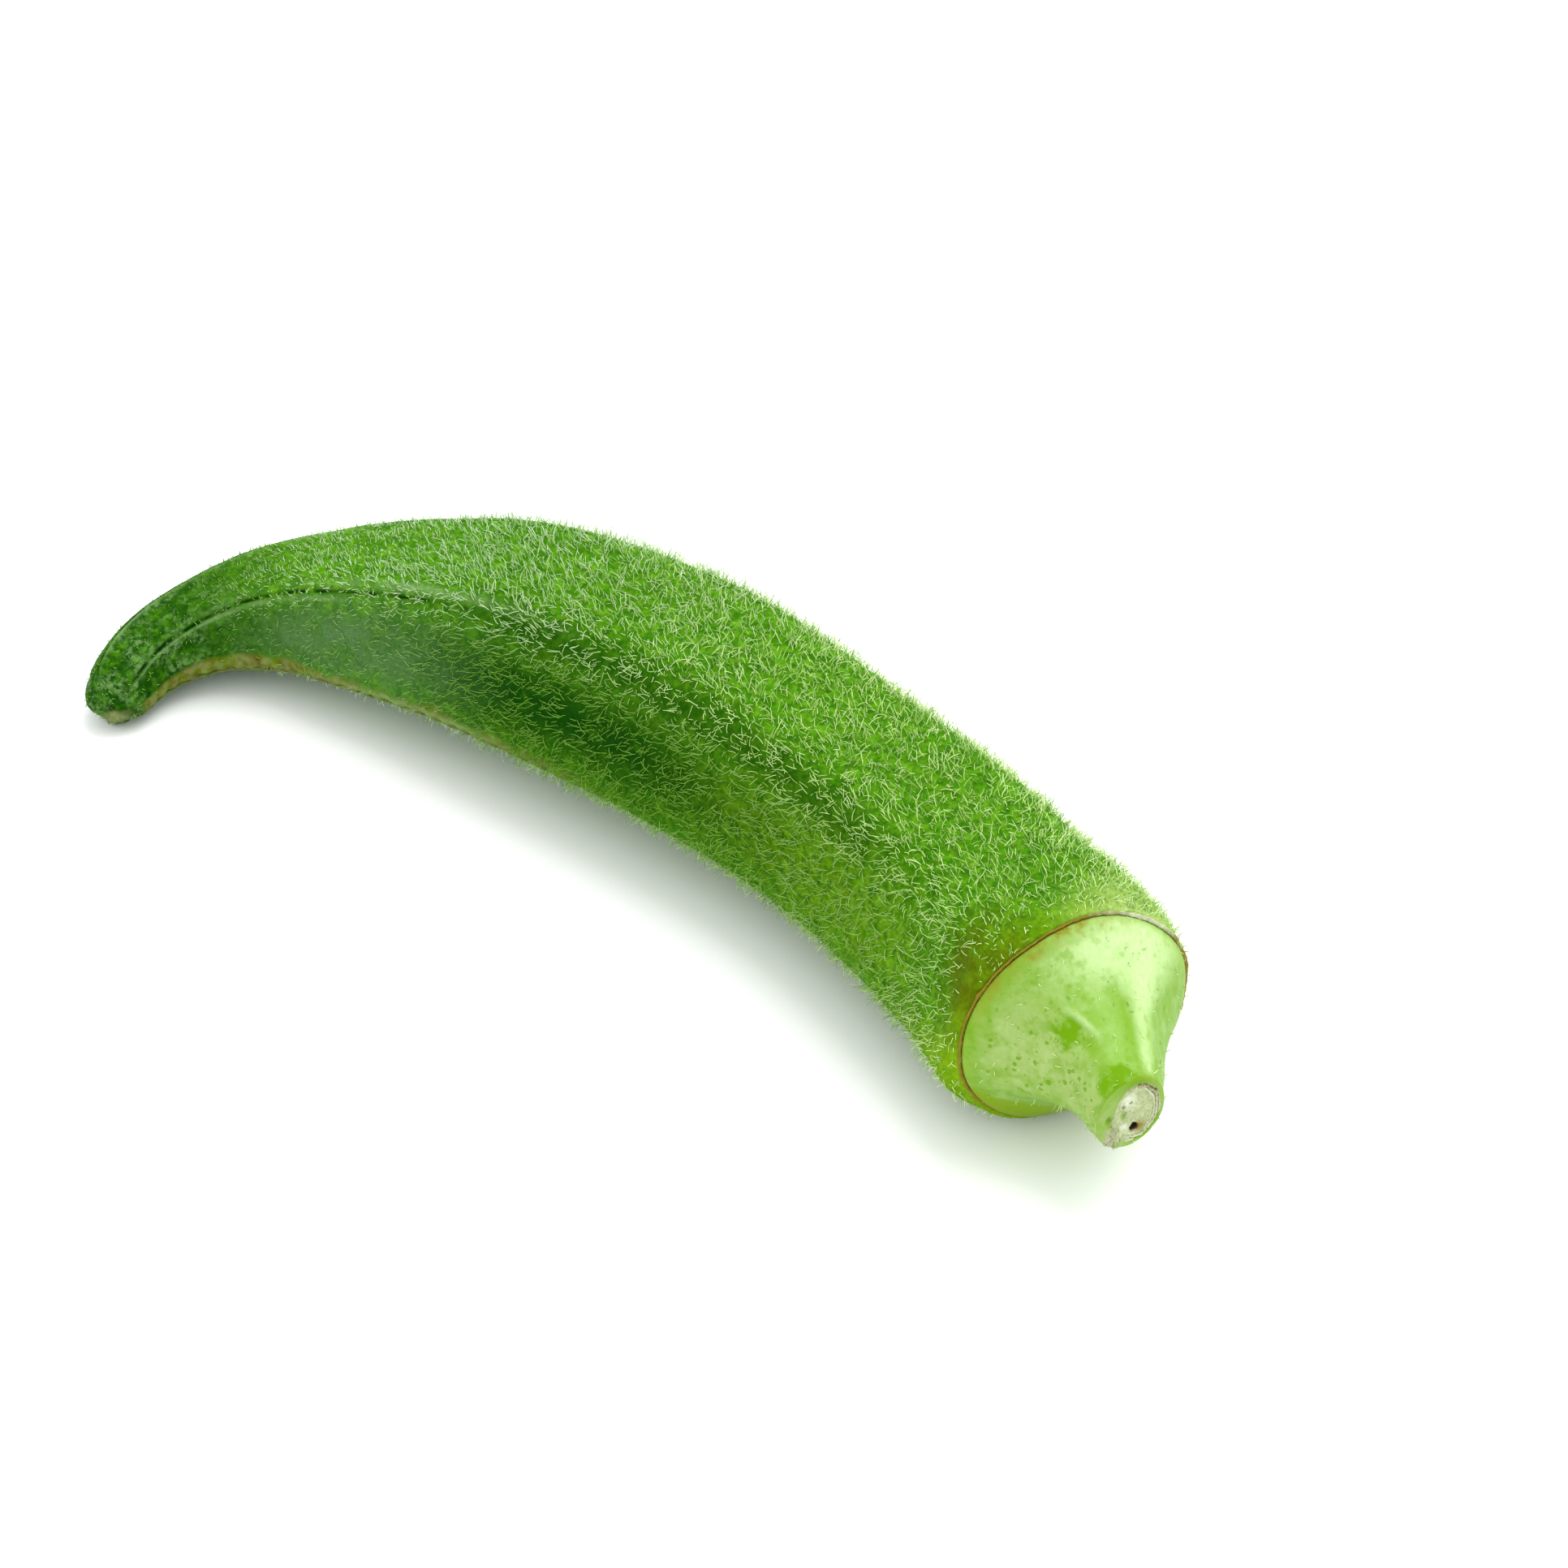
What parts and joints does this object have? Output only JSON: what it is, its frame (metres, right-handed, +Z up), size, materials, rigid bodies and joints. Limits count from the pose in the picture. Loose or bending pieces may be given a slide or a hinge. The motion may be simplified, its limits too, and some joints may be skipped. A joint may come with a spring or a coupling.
{
  "type": "okra pod",
  "caption": "Fresh okra pod, as picked: a ribbed, hairy green pod with a hooked tip, a pale cap and a cut stem, lying on its side.",
  "frame": {"origin": "on the table, under the middle of the pod's bounding box", "axes": "+X along the pod, from the hooked tip towards the cut stem; +Z up from the table; +Y towards the outside of the bend"},
  "size_m": [0.107, 0.033, 0.0203],
  "materials": {
    "pod_skin": "soft mid green skin, satin, darker at the tip and yellower near the cap",
    "cap_skin": "smooth pale green cap, satin, with darker green flecks",
    "cut_stem": "matt cream cut face with a brown rim and pith hole",
    "hair": "fine whitish hairs, half clear"
  },
  "bodies": {
    "root": {"okra_pod": "pod_skin"}
  },
  "joints": []
}
